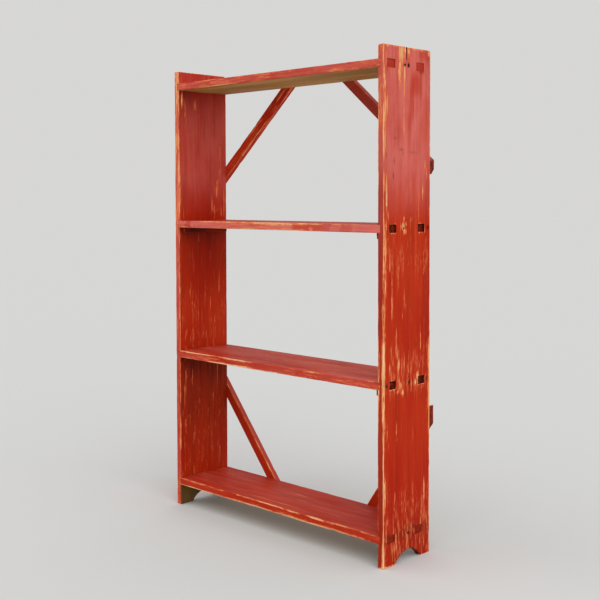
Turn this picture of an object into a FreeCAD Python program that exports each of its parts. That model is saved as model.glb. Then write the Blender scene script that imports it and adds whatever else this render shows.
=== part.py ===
import FreeCAD, Part
import os

import Sketcher
from FreeCAD import Placement, Rotation, Vector

# An open bookcase: four shelves between two side planks, made by hand from boards.
# X runs along its width, Y from the front to the back and Z up. Lengths are millimetres.
# Everything is drawn from the case's front, lower, left corner. Placements then move it, so that
# the origin lies on the floor under the middle of the whole bookcase, back braces included.

DIMENSIONS = (
    ("case_width", 880, "over the outer faces of both sides"),
    ("side_height", 1416, "side plank, floor to top edge"),
    ("side_depth", 204, "side plank, front edge to back edge"),
    ("side_thickness", 20, ""),
    ("arch_width", 113, "cut-out between a side's two feet, along the floor"),
    ("arch_height", 31, ""),
    ("arch_middle", 107, "from the front edge"),
    ("shelf_thickness", 22, ""),
    ("dado_depth", 8, "how far the whole shelf end is let into the side"),
    ("tenon_shy", 2, "how far a tenon stops short of the side's outer face"),
    ("top_height", 1378, "upper surface of each shelf, from the floor"),
    ("upper_height", 934, ""),
    ("lower_height", 509, ""),
    ("bottom_height", 88, ""),
    ("top_tenon_width", 34, "along the side's depth"),
    ("upper_tenon_width", 30, ""),
    ("lower_tenon_width", 28, ""),
    ("bottom_tenon_width", 29, ""),
    ("top_tenon_front", 31, "middle of the front tenon, from the front edge"),
    ("upper_tenon_front", 39, ""),
    ("lower_tenon_front", 40, ""),
    ("bottom_tenon_front", 33, ""),
    ("top_tenon_back", 157, "middle of the back tenon, from the front edge"),
    ("upper_tenon_back", 164, ""),
    ("lower_tenon_back", 165, ""),
    ("bottom_tenon_back", 154, ""),
    ("top_nail_1", 89, "nails through the side into the shelf, from the front edge"),
    ("top_nail_2", 106, ""),
    ("upper_nail_1", 87, ""),
    ("upper_nail_2", 194, ""),
    ("lower_nail_1", 13, ""),
    ("lower_nail_2", 111, ""),
    ("lower_nail_3", 190, ""),
    ("bottom_nail_1", 107, ""),
    ("cleat_width", 13, "across the shelf's end"),
    ("cleat_height", 17, ""),
    ("cleat_setback", 10, "from the side's front and back edges"),
    ("brace_width", 31, ""),
    ("brace_thickness", 18, ""),
    ("top_left_angle", 42.2, "each brace's slope, in degrees from the floor"),
    ("top_right_angle", 40.6, ""),
    ("bottom_left_angle", 50.6, ""),
    ("bottom_right_angle", 55, ""),
    ("top_left_rise", 1086, "where a brace's middle line crosses the side's, from the floor"),
    ("top_right_rise", 1101, ""),
    ("bottom_left_rise", 360, ""),
    ("bottom_right_rise", 378, ""),
    ("clip_run", 13, "sawn off the lowest corner of one brace's end, forward from its back"),
    ("clip_rise", 16, ""),
    ("nail_radius", 1.4, ""),
    ("head_radius", 2.8, ""),
    ("head_thickness", 1.2, ""),
    ("point_length", 4, ""),
    ("shelf_nail", 50, "lengths of the nails"),
    ("brace_nail", 42, ""),
    ("cleat_nail", 26, ""),
    ("brace_nail_offset", 9, "each nail's distance from its brace's middle line"),
    ("cleat_nail_inset", 34, "from the cleat's ends"),
)

SHELF_NAILS = {"top": 2, "upper": 2, "lower": 3, "bottom": 1}
CLEATED_SHELVES = ("upper", "lower")
BRACED_SHELVES = ("top", "bottom")
CLIPPED_BRACE = ("top", "right")
SIDES = ("left", "right")

# The case's front, lower, left corner, measured from the origin.
CORNER = {"x": "-Sheet.case_width / 2", "y": "-(Sheet.side_depth + Sheet.brace_thickness) / 2"}


def add_sheet(doc):
    sheet = doc.addObject("Spreadsheet::Sheet", "Sheet")
    for row, (name, value, note) in enumerate(DIMENSIONS, start=1):
        sheet.set(f"A{row}", name)
        sheet.set(f"B{row}", str(value))
        sheet.setAlias(f"B{row}", name)
        sheet.set(f"C{row}", note)
    doc.recompute()


def number(obj, expression):
    return float(obj.Document.getObject("Sheet").evalExpression(expression))


def from_side(side, reach):
    """An X that lies this far in from the outer face of the left or the right side."""
    return reach if side == "left" else f"Sheet.case_width - ({reach})"


def place_at(obj, x="0", y="0", z="0"):
    """Bind an object's place, given from the case's corner, to the sheet."""
    obj.setExpression("Placement.Base.x", f"{CORNER['x']} + ({x})")
    obj.setExpression("Placement.Base.y", f"{CORNER['y']} + ({y})")
    obj.setExpression("Placement.Base.z", z)


# Bodies and sketches


def new_body(doc, name):
    body = doc.addObject("PartDesign::Body", name)
    place_at(body)
    return body


def new_sketch(body, name, plane, offset):
    """A sketch on one of its body's origin planes, moved along that plane's normal."""
    sketch = body.newObject("Sketcher::SketchObject", name)
    origin_plane = next(o for o in body.Origin.OriginFeatures if o.Role == plane)
    sketch.AttachmentSupport = [(origin_plane, "")]
    sketch.MapMode = "FlatFace"
    sketch.setExpression("AttachmentOffset.Base.z", offset)
    return sketch


def hold_point(sketch, geometry, point, axis, expression):
    """Tie one coordinate of a point to the sketch's origin."""
    if expression == "0":
        axis_line = {"X": -2, "Y": -1}[axis]
        sketch.addConstraint(Sketcher.Constraint("PointOnObject", geometry, point, axis_line))
        return
    distance = number(sketch, expression)
    rule = Sketcher.Constraint("Distance" + axis, -1, 1, geometry, point, distance)
    index = sketch.addConstraint(rule)
    sketch.setExpression(f"Constraints[{index}]", expression)


def add_outline(sketch, corners):
    """A closed outline through corners that are given as pairs of expressions."""
    points = [Vector(number(sketch, x), number(sketch, y), 0) for x, y in corners]
    first = sketch.GeometryCount
    count = len(points)
    for i, point in enumerate(points):
        sketch.addGeometry(Part.LineSegment(point, points[(i + 1) % count]), False)
    for i in range(count):
        joined = (first + i, 2, first + (i + 1) % count, 1)
        sketch.addConstraint(Sketcher.Constraint("Coincident", *joined))
    for i, (x, y) in enumerate(corners):
        hold_point(sketch, first + i, 1, "X", x)
        hold_point(sketch, first + i, 1, "Y", y)


def add_rectangle(sketch, left, bottom, right, top):
    add_outline(sketch, [(left, bottom), (right, bottom), (right, top), (left, top)])


def add_pad(body, sketch, length, backwards=False):
    pad = body.newObject("PartDesign::Pad", sketch.Name + "_pad")
    pad.Profile = sketch
    pad.setExpression("Length", length)
    pad.Reversed = backwards
    return pad


def add_pocket(body, sketch, backwards, depth=None):
    """A pocket of this depth, or right through when no depth is given."""
    pocket = body.newObject("PartDesign::Pocket", sketch.Name + "_pocket")
    pocket.Profile = sketch
    pocket.Reversed = backwards
    if depth is None:
        pocket.Type = "ThroughAll"
    else:
        pocket.setExpression("Length", depth)
    return pocket


# Boards


def underside(shelf):
    return f"Sheet.{shelf}_height - Sheet.shelf_thickness"


def mid_height(shelf):
    return f"Sheet.{shelf}_height - Sheet.shelf_thickness / 2"


def tenon_span(shelf, end):
    """The front and back limits of a shelf's front or back tenon."""
    middle = f"Sheet.{shelf}_tenon_{end}"
    half = f"Sheet.{shelf}_tenon_width / 2"
    return f"{middle} - {half}", f"{middle} + {half}"


def make_side(doc, side):
    """A side plank: arched foot, a dado for each shelf, and two mortises through each dado."""
    name = f"side_{side}"
    body = new_body(doc, name + "_board")
    outer = from_side(side, "0")
    inner = from_side(side, "Sheet.side_thickness")
    inwards = side == "right"

    outline = new_sketch(body, name + "_outline", "YZ_Plane", outer)
    add_rectangle(outline, "0", "0", "Sheet.side_depth", "Sheet.side_height")
    add_pad(body, outline, "Sheet.side_thickness", backwards=inwards)

    arch = new_sketch(body, name + "_arch", "YZ_Plane", inner)
    add_arch(arch)
    add_pocket(body, arch, inwards)

    dados = new_sketch(body, name + "_dados", "YZ_Plane", inner)
    for shelf in SHELF_NAILS:
        add_rectangle(dados, "0", underside(shelf), "Sheet.side_depth", f"Sheet.{shelf}_height")
    add_pocket(body, dados, inwards, "Sheet.dado_depth")

    mortises = new_sketch(body, name + "_mortises", "YZ_Plane", inner)
    for shelf in SHELF_NAILS:
        for end in ("front", "back"):
            start, stop = tenon_span(shelf, end)
            add_rectangle(mortises, start, underside(shelf), stop, f"Sheet.{shelf}_height")
    add_pocket(body, mortises, inwards)
    return body


def add_arch(sketch):
    """The circle whose top makes a foot arch, with its centre below the floor."""
    radius = "(Sheet.arch_width ^ 2 / 4 + Sheet.arch_height ^ 2) / (2 * Sheet.arch_height)"
    depth = f"{radius} - Sheet.arch_height"
    centre = Vector(number(sketch, "Sheet.arch_middle"), -number(sketch, depth), 0)
    circle = Part.Circle(centre, Vector(0, 0, 1), number(sketch, radius))
    index = sketch.addGeometry(circle, False)
    hold_point(sketch, index, 3, "X", "Sheet.arch_middle")
    hold_point(sketch, index, 3, "Y", f"-({depth})")
    size = sketch.addConstraint(Sketcher.Constraint("Radius", index, circle.Radius))
    sketch.setExpression(f"Constraints[{size}]", radius)


def make_shelf(doc, shelf):
    """A shelf board whose ends fill the dados, with two tenons going on through each side."""
    name = f"shelf_{shelf}"
    body = new_body(doc, name + "_board")
    end = "Sheet.side_thickness - Sheet.dado_depth"
    board = new_sketch(body, name + "_outline", "XY_Plane", underside(shelf))
    add_rectangle(board, end, "0", from_side("right", end), "Sheet.side_depth")
    add_pad(body, board, "Sheet.shelf_thickness")

    tenons = new_sketch(body, name + "_tenons", "XY_Plane", underside(shelf))
    for place in ("front", "back"):
        start, stop = tenon_span(shelf, place)
        add_rectangle(tenons, "Sheet.tenon_shy", start, from_side("right", "Sheet.tenon_shy"), stop)
    add_pad(body, tenons, "Sheet.shelf_thickness")
    return body


def make_cleat(doc, shelf, side):
    """A square ledger under a shelf's end."""
    cleat = doc.addObject("Part::Box", f"cleat_{shelf}_{side}_strip")
    cleat.setExpression("Length", "Sheet.cleat_width")
    cleat.setExpression("Width", "Sheet.side_depth - 2 * Sheet.cleat_setback")
    cleat.setExpression("Height", "Sheet.cleat_height")
    reach = {"left": "Sheet.side_thickness", "right": "Sheet.side_thickness + Sheet.cleat_width"}
    x = from_side(side, reach[side])
    place_at(cleat, x, "Sheet.cleat_setback", f"{underside(shelf)} - Sheet.cleat_height")
    return cleat


def brace_reach(shelf, side, height):
    """How far in from the side's outer face a brace's middle line reaches this height."""
    climb = f"abs({height} - Sheet.{shelf}_{side}_rise)"
    return f"Sheet.side_thickness / 2 + {climb} / tan(Sheet.{shelf}_{side}_angle * 1 deg)"


def make_brace(doc, shelf, side):
    """A diagonal batten, cut upright at the side's outer face and level at its shelf."""
    name = f"brace_{shelf}_{side}"
    body = new_body(doc, name + "_batten")
    angle = f"Sheet.{shelf}_{side}_angle * 1 deg"
    side_drop = f"Sheet.side_thickness / 2 * tan({angle})"
    half_upright = f"Sheet.brace_width / 2 / cos({angle})"
    half_level = f"Sheet.brace_width / 2 / sin({angle})"
    if shelf == "top":
        at_side = f"Sheet.{shelf}_{side}_rise - {side_drop}"
        shelf_end = f"Sheet.{shelf}_height"
        far_edge, near_edge = f"{at_side} - {half_upright}", f"{at_side} + {half_upright}"
    else:
        at_side = f"Sheet.{shelf}_{side}_rise + {side_drop}"
        shelf_end = underside(shelf)
        far_edge, near_edge = f"{at_side} + {half_upright}", f"{at_side} - {half_upright}"
    reach = brace_reach(shelf, side, f"({shelf_end})")
    corners = [
        ("0", far_edge),
        (f"{reach} + {half_level}", shelf_end),
        (f"{reach} - {half_level}", shelf_end),
        ("0", near_edge),
    ]
    outline = new_sketch(body, name + "_outline", "XZ_Plane", "-Sheet.side_depth")
    add_outline(outline, [(from_side(side, x), z) for x, z in corners])
    add_pad(body, outline, "Sheet.brace_thickness", backwards=True)
    if (shelf, side) == CLIPPED_BRACE:
        clip_corner(body, name, far_edge)
    return body


def clip_corner(body, name, tip):
    """Saw off the back of a right brace's lowest corner, whose height is given."""
    back = "Sheet.side_depth + Sheet.brace_thickness"
    clip = new_sketch(body, name + "_clip", "YZ_Plane", "Sheet.case_width")
    add_outline(clip, [(f"{back} - Sheet.clip_run", tip), (back, tip), (back, f"{tip} + Sheet.clip_rise")])
    add_pocket(body, clip, False)


# Nails


def make_nail_pattern(doc, kind):
    """Head, shank and point of one kind of nail, driven along +Z from its head's top."""
    head = doc.addObject("Part::Cylinder", f"{kind}_head")
    head.setExpression("Radius", "Sheet.head_radius")
    head.setExpression("Height", "Sheet.head_thickness")
    shank = doc.addObject("Part::Cylinder", f"{kind}_shank")
    shank.setExpression("Radius", "Sheet.nail_radius")
    shank.setExpression("Height", f"Sheet.{kind} - Sheet.point_length")
    point = doc.addObject("Part::Cone", f"{kind}_point")
    point.setExpression("Radius1", "Sheet.nail_radius")
    point.Radius2 = 0
    point.setExpression("Height", "Sheet.point_length")
    point.setExpression("Placement.Base.z", f"Sheet.{kind} - Sheet.point_length")
    return [head, shank, point]


def drive_nail(doc, name, pattern, direction, x, y, z):
    nail = doc.addObject("Part::MultiFuse", name)
    nail.Shapes = pattern
    nail.Placement = Placement(Vector(), Rotation(Vector(0, 0, 1), direction))
    place_at(nail, x, y, z)
    return nail


def shelf_nails(doc, shelf, pattern):
    """Nails through both sides into the shelf's end grain, between and beside its tenons."""
    nails = []
    for side, direction in (("left", Vector(1, 0, 0)), ("right", Vector(-1, 0, 0))):
        for i in range(1, SHELF_NAILS[shelf] + 1):
            place = (from_side(side, "0"), f"Sheet.{shelf}_nail_{i}", mid_height(shelf))
            nails.append(drive_nail(doc, f"nail_{shelf}_{side}_{i}", pattern, direction, *place))
    return nails


def cleat_nails(doc, shelf, side, pattern):
    """Two nails from the case's inside, through a cleat into its side."""
    direction = Vector(-1, 0, 0) if side == "left" else Vector(1, 0, 0)
    x = from_side(side, "Sheet.side_thickness + Sheet.cleat_width")
    z = f"{underside(shelf)} - Sheet.cleat_height / 2"
    inset = "Sheet.cleat_setback + Sheet.cleat_nail_inset"
    places = {"front": inset, "back": f"Sheet.side_depth - ({inset})"}
    return [
        drive_nail(doc, f"nail_cleat_{shelf}_{side}_{end}", pattern, direction, x, y, z)
        for end, y in places.items()
    ]


def brace_nails(doc, shelf, side, pattern):
    """Two nails from behind into the side's back edge, and two into the shelf's."""
    gap = "Sheet.brace_nail_offset"
    rise = f"Sheet.{shelf}_{side}_rise"
    reach = brace_reach(shelf, side, f"({mid_height(shelf)})")
    places = [("Sheet.side_thickness / 2", f"{rise} {sign} {gap}") for sign in "-+"]
    places += [(f"{reach} {sign} {gap}", mid_height(shelf)) for sign in "-+"]
    y = "Sheet.side_depth + Sheet.brace_thickness"
    nails = []
    for i, (x, z) in enumerate(places, start=1):
        name = f"nail_brace_{shelf}_{side}_{i}"
        place = (from_side(side, x), y, z)
        nails.append(drive_nail(doc, name, pattern, Vector(0, -1, 0), *place))
    return nails


def group(doc, name, members):
    compound = doc.addObject("Part::Compound", name)
    compound.Links = members
    return compound


def nail_board(doc, name, board, nail_groups):
    """The finished board: the raw one with a tight hole for every nail that enters it."""
    finished = doc.addObject("Part::Cut", name)
    finished.Base = board
    finished.Tool = group(doc, name + "_nail_holes", nail_groups)
    finished.Refine = True
    return finished


# The whole bookcase


def build(doc):
    """Make every sub-part, and return them all."""
    patterns = {kind: make_nail_pattern(doc, kind) for kind in ("shelf_nail", "brace_nail", "cleat_nail")}
    for_shelf = {
        shelf: group(doc, f"nails_shelf_{shelf}", shelf_nails(doc, shelf, patterns["shelf_nail"]))
        for shelf in SHELF_NAILS
    }
    for_brace = {}
    for_cleat = {}
    for side in SIDES:
        for shelf in BRACED_SHELVES:
            nails = brace_nails(doc, shelf, side, patterns["brace_nail"])
            for_brace[shelf, side] = group(doc, f"nails_brace_{shelf}_{side}", nails)
        for shelf in CLEATED_SHELVES:
            nails = cleat_nails(doc, shelf, side, patterns["cleat_nail"])
            for_cleat[shelf, side] = group(doc, f"nails_cleat_{shelf}_{side}", nails)

    boards = []
    for side in SIDES:
        entering = list(for_shelf.values())
        entering += [nails for key, nails in (for_brace | for_cleat).items() if key[1] == side]
        boards.append(nail_board(doc, f"side_{side}", make_side(doc, side), entering))
    for shelf in SHELF_NAILS:
        entering = [for_shelf[shelf]]
        entering += [nails for key, nails in for_brace.items() if key[0] == shelf]
        boards.append(nail_board(doc, f"shelf_{shelf}", make_shelf(doc, shelf), entering))
    for (shelf, side), nails in for_cleat.items():
        strip = make_cleat(doc, shelf, side)
        boards.append(nail_board(doc, f"cleat_{shelf}_{side}", strip, [nails]))
    for (shelf, side), nails in for_brace.items():
        batten = make_brace(doc, shelf, side)
        boards.append(nail_board(doc, f"brace_{shelf}_{side}", batten, [nails]))
    return boards + list(for_shelf.values()) + list(for_brace.values()) + list(for_cleat.values())


def check(doc, parts):
    """Stop if anything failed without saying so."""
    for obj in doc.Objects:
        if "Invalid" in obj.State or "Error" in obj.State:
            raise RuntimeError(f"{obj.Name} failed: {obj.State}")
        if obj.TypeId == "PartDesign::Pocket" and obj.Shape.Volume > obj.BaseFeature.Shape.Volume - 1:
            raise RuntimeError(f"{obj.Name} cuts nothing")
    for part in parts:
        if part.Shape.isNull() or not part.Shape.isValid() or not part.Shape.Solids:
            raise RuntimeError(f"{part.Label} has no valid shape")


def main():
    doc = FreeCAD.newDocument("bookcase")
    add_sheet(doc)
    parts = build(doc)
    doc.recompute()
    check(doc, parts)
    os.makedirs("parts", exist_ok=True)
    for part in parts:
        part.Shape.exportStep(f"parts/{part.Label}.step")
        box = part.Shape.BoundBox
        print(f"{part.Label}: {len(part.Shape.Solids)} solids, {part.Shape.Volume:.0f} mm3, "
              f"x {box.XMin:.1f} {box.XMax:.1f}, y {box.YMin:.1f} {box.YMax:.1f}, "
              f"z {box.ZMin:.1f} {box.ZMax:.1f}")


main()
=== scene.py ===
"""Looks of the open red bookcase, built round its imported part. Metres, Z up, front at -Y."""

import math

import bmesh
import bpy
import numpy as np
from mathutils import Matrix, Vector


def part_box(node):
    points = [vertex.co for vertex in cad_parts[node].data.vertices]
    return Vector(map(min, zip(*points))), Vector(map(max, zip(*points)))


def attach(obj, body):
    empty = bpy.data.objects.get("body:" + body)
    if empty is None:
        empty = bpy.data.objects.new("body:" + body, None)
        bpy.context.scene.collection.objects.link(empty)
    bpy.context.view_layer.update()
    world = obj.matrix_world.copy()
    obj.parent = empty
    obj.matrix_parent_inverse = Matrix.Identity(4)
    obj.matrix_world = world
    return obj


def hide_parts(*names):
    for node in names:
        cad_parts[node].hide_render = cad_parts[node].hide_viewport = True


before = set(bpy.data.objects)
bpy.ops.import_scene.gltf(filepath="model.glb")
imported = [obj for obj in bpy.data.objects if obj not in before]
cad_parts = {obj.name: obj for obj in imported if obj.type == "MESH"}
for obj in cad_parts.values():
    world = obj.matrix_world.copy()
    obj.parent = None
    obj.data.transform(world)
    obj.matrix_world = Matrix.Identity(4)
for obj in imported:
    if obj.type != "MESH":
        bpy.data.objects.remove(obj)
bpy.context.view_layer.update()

MM = 0.001
SIDES = {"left": -1, "right": 1}
SHELVES = ("top", "upper", "lower", "bottom")

# Joinery, in millimetres from the sides' front edge, as in the part.
TENONS = {  # width, middle of the front tenon, middle of the back tenon, how deep its end lies
    "top": (34, 31, 157, 0.8),
    "upper": (30, 39, 164, 5.5),
    "lower": (28, 40, 165, 5.0),
    "bottom": (29, 33, 154, 1.0),
}
DEEP_TENON = 3  # a mortise whose tenon ends deeper than this has a worn mouth
DADO_DEPTH = 8
ARCH_WIDTH, ARCH_HEIGHT, ARCH_MIDDLE = 113 * MM, 31 * MM, 107 * MM  # the cut-out between the feet, in metres
ARCH_RADIUS = (ARCH_WIDTH**2 / 4 + ARCH_HEIGHT**2) / (2 * ARCH_HEIGHT)
BRACES = {  # slope in degrees, height at which the middle line crosses the side's
    ("top", "left"): (42.2, 1086),
    ("top", "right"): (40.6, 1101),
    ("bottom", "left"): (50.6, 360),
    ("bottom", "right"): (55.0, 378),
}
BRACE_WIDTH = 31
CLIPPED_BRACE, CLIP = ("top", "right"), (13, 16)  # how far forward and up its end's corner is sawn off

EDGE_STEPS = (0, 0.5, 1.1, 1.9, 2.9, 4.2, 6.0, 8.4)  # grid lines beside an arris, mm from it


# ---------------------------------------------------------------- shapes in numbers


def smoothstep(low, high, value):
    t = np.clip((value - low) / (high - low), 0, 1)
    return t * t * (3 - 2 * t)


def ramp(low, high, value):
    """The same between two places given in millimetres."""
    return smoothstep(low * MM, high * MM, value)


def ripple(seed, lengths, count=16):
    """A smooth random function of place, about -1 to 1, whose bumps are about `lengths` metres long."""
    rng = np.random.default_rng(seed)
    waves = rng.normal(size=(count, 3)) * (2.4 / np.array(lengths))
    phases = rng.uniform(0, 2 * math.pi, count)

    def value(points):
        return np.cos(points @ waves.T + phases).sum(1) * math.sqrt(1.1 / count)

    return value


def stations(length, step):
    """Grid places along one side of a board: close together near its two arrises."""
    edge = [s * MM for s in EDGE_STEPS if s * MM < 0.35 * length]
    count = max(1, round((length - 2 * edge[-1]) / step))
    middle = np.linspace(edge[-1], length - edge[-1], count + 1)[1:-1]
    return np.array([*edge, *middle, *(length - s for s in reversed(edge))])


def shell(size, steps):
    """The six faces of a box as one closed grid: points, and faces of four points each."""
    lines = [stations(length, step) for length, step in zip(size, steps)]
    counts = [len(line) for line in lines]
    outside = np.zeros(counts, bool)
    for axis in range(3):
        ends = [slice(None)] * 3
        ends[axis] = [0, -1]
        outside[tuple(ends)] = True
    index = np.full(counts, -1)
    index[outside] = np.arange(outside.sum())
    points = np.stack(np.meshgrid(*lines, indexing="ij"), -1)[outside]
    faces = []
    for axis in range(3):
        for end in (0, counts[axis] - 1):
            sheet = np.take(index, end, axis=axis)
            quads = np.stack([sheet[:-1, :-1], sheet[1:, :-1], sheet[1:, 1:], sheet[:-1, 1:]], -1)
            outward = (end > 0) != (axis == 1)
            faces.append(quads.reshape(-1, 4)[:, :: 1 if outward else -1])
    return points, np.concatenate(faces)


def rounded(p, size, r):
    """Points of a box, with the radius r at its edges: one for all, or one for each point."""
    inner = np.clip(p, r, size - r)
    out = p - inner
    length = np.linalg.norm(out, axis=1, keepdims=True)
    return np.where(length > 1e-9, inner + out / np.maximum(length, 1e-9) * r, p)


def new_object(name, points, faces):
    mesh = bpy.data.meshes.new(name)
    mesh.from_pydata(np.asarray(points).tolist(), [], [list(map(int, f)) for f in faces])
    mesh.update()
    obj = bpy.data.objects.new(name, mesh)
    bpy.context.scene.collection.objects.link(obj)
    return obj


def combine(obj, tool, operation):
    """Cuts the tool out of obj, or joins it on, and then removes the tool."""
    modifier = obj.modifiers.new("cut", "BOOLEAN")
    modifier.operation = operation
    modifier.solver = "MANIFOLD"
    modifier.object = tool
    bpy.context.view_layer.update()
    graph = bpy.context.evaluated_depsgraph_get()
    made = bpy.data.meshes.new_from_object(obj.evaluated_get(graph))
    obj.modifiers.clear()
    old = obj.data
    obj.data = made
    made.name = obj.name
    bpy.data.meshes.remove(old)
    bpy.data.objects.remove(tool)


def points_of(obj):
    flat = np.empty(len(obj.data.vertices) * 3, np.float32)
    obj.data.vertices.foreach_get("co", flat)
    return flat.reshape(-1, 3).astype(float)


def loft(rings):
    """A closed solid through rings with the same number of points, with a flat face at each end."""
    rings = [np.asarray(r, float) for r in rings]
    count = len(rings[0])
    points = np.concatenate(rings)
    turn = np.arange(count)
    faces = []
    for k in range(len(rings) - 1):
        a, b = k * count + turn, k * count + (turn + 1) % count
        faces += np.stack([a, b, b + count, a + count], -1).tolist()
    faces.append(list(range(count))[::-1])
    faces.append([len(points) - count + i for i in range(count)])
    return points, faces


def gather(name, solids):
    """One object from separate closed solids, each turned to face outwards."""
    points, faces, start = [], [], 0
    for part_points, part_faces in solids:
        points.append(part_points)
        faces += [[i + start for i in face] for face in part_faces]
        start += len(part_points)
    obj = new_object(name, np.concatenate(points), faces)
    bm = bmesh.new()
    bm.from_mesh(obj.data)
    bmesh.ops.recalc_face_normals(bm, faces=bm.faces)
    bm.to_mesh(obj.data)
    bm.free()
    return obj


# ---------------------------------------------------------------- boards


class Board:
    """A worn board in its own coordinates: across it, through it and along its grain.

    steps are the grid's in mm, arrises how worn its long edges are, and sink how deep its faces wave in mm.
    """

    def __init__(self, name, corner, axes, size, seed, steps, arrises, sink, knocks):
        self.name, self.seed = name, seed
        self.corner, self.axes = np.array(corner, float), np.array(axes, float)
        self.size = np.array(size, float)
        self.steps = [s * MM for s in steps]
        self.arrises = np.array(arrises, float)
        self.sink = sink
        self.slope = None
        rng = np.random.default_rng(seed + 500)
        self.knocks = np.stack([rng.uniform(0, 1, knocks) * self.size[2], rng.uniform(4, 22, knocks) * MM,
                                rng.uniform(0.6, 2.6, knocks), rng.integers(0, 2, knocks),
                                rng.integers(0, 2, knocks)], -1)
        self.worn_by = ripple(seed + 1, (0.06, 0.06, 0.24))
        self.worn_fine = ripple(seed + 2, (0.03, 0.03, 0.03))
        self.offset = rng.uniform(1, 9, 3)

    def arris(self, p):
        """How worn the nearest long arris is, from the four given values."""
        across, through = (np.clip(p[:, k] / self.size[k], 0, 1) for k in (0, 1))
        near, far = self.arrises
        return ((1 - across) * ((1 - through) * near[0] + through * near[1])
                + across * ((1 - through) * far[0] + through * far[1]))

    def knocked(self, p):
        """Extra wear where something knocked an arris."""
        total = np.zeros(len(p))
        for along, reach, depth, across, through in self.knocks:
            here = ((p[:, 0] > self.size[0] / 2) == across) & ((p[:, 1] > self.size[1] / 2) == through)
            total += here * depth * np.exp(-(((p[:, 2] - along) / reach) ** 2))
        return total

    def radius(self, p):
        worn = 0.8 + 0.45 * self.worn_by(p) + 0.25 * self.worn_fine(p)
        r = 0.7 + self.arris(p) * (np.clip(worn, 0.1, 2) + self.knocked(p))
        return np.minimum(r * MM, 0.3 * self.size.min())

    def build(self, corners=()):
        """Makes the board's mesh. corners to round in its plane are (across end, along end, radius in mm)."""
        p, faces = shell(self.size, self.steps)
        lengths = ((0.3, 0.3, 0.11), (0.07, 0.3, 0.25), (0.05, 0.05, 0.3))  # of the waves in each face, in m
        for across_end, along_end, radius in corners:
            p = self.round_corner(p, across_end, along_end, radius * MM)
        for axis in range(3):
            waves = ripple(self.seed + 10 + axis, lengths[axis])(p)
            depth = self.sink[axis] * MM * np.clip(0.5 + 0.5 * waves, 0, 1)
            p[:, axis] += depth * (1 - 2 * p[:, axis] / self.size[axis])
        world = self.to_world(rounded(p, self.size, self.radius(p)[:, None]))
        if np.linalg.det(self.axes) < 0:
            faces = faces[:, ::-1]
        self.obj = new_object(self.name + "_look", world, faces)

    def round_corner(self, p, across_end, along_end, radius):
        size = self.size[[0, 2]]
        centre = np.where([across_end, along_end], size - radius, radius)
        out = p[:, [0, 2]] - centre
        sign = np.where([across_end, along_end], 1, -1)
        inside = (out * sign > 0).all(1)
        length = np.linalg.norm(out, axis=1)
        factor = np.abs(out).max(1) / np.maximum(length, 1e-9)
        p = p.copy()
        moved = centre + out * factor[:, None]
        p[np.ix_(inside, [0, 2])] = moved[inside]
        return p

    def to_world(self, p):
        if self.slope is not None:
            p = p.copy()
            share = p[:, 2] / self.size[2]
            p[:, 2] += (p[:, 0] - self.size[0] / 2) * (self.slope[0] * (1 - share) + self.slope[1] * share)
        return self.corner + p @ self.axes

    def to_local(self, world):
        p = (world - self.corner) @ np.linalg.inv(self.axes)
        if self.slope is not None:
            offset = p[:, 0] - self.size[0] / 2
            start, end = self.slope
            p[:, 2] = (p[:, 2] - offset * start) / (1 + offset * (end - start) / self.size[2])
        return p

    def cut(self, solids):
        combine(self.obj, gather("cutter", solids), "DIFFERENCE")

    def edge_wear(self, p, width, gain):
        """Wear along the edges, widest and strongest where the board was knocked and rubbed most."""
        gap = np.sort(np.maximum(np.minimum(p, self.size - p), 0), axis=1)[:, 1]
        strength = self.arris(p)
        spread = np.clip(0.6 + 0.60 * self.worn_by(p + 0.31), 0.05, 1.8)
        reach = (1.3 + 2.0 * strength * spread) * width * MM
        amount = strength * gain * np.clip(0.8 + 0.5 * self.worn_by(p * 0.8 + 0.2), 0.1, 1.5)
        amount += 0.12 * self.worn_fine(p) + 0.35 * np.clip(self.knocked(p), 0, 1.2)
        return amount * np.exp(-((gap / reach) ** 2))

    def finish(self, wear_width=1.0, wear_gain=1.0, patches=(), kept=None, **looks):
        """Writes what the paint needs onto the finished mesh: grain, wear, tone, bare and shade.

        patches add wear, kept takes it away, and looks give tone, bare and shade as numbers or functions.
        """
        world = points_of(self.obj)
        p = self.to_local(world)
        wear = self.edge_wear(p, wear_width, wear_gain)
        for patch in patches:
            wear = np.maximum(wear, patch(p, world))
        if kept is not None:
            wear *= 1 - kept(p, world)
        values = {"wear": np.clip(wear, 0, 2), "tone": 0.0, "bare": 0.0, "shade": 0.0}
        for name, look in looks.items():
            values[name] = look(p, world) if callable(look) else look
        mesh = self.obj.data
        for name, value in values.items():
            layer = mesh.attributes.new(name, "FLOAT", "POINT")
            layer.data.foreach_set("value", np.broadcast_to(value, len(p)).astype(np.float32))
        layer = mesh.attributes.new("grain", "FLOAT_VECTOR", "POINT")
        layer.data.foreach_set("vector", (p + self.offset).astype(np.float32).ravel())
        mesh.shade_smooth()
        mesh.set_sharp_from_angle(angle=math.radians(38))
        mesh.materials.clear()
        mesh.materials.append(PAINT)
        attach(self.obj, "root")
        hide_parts(self.name)


# ---------------------------------------------------------------- materials

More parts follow.
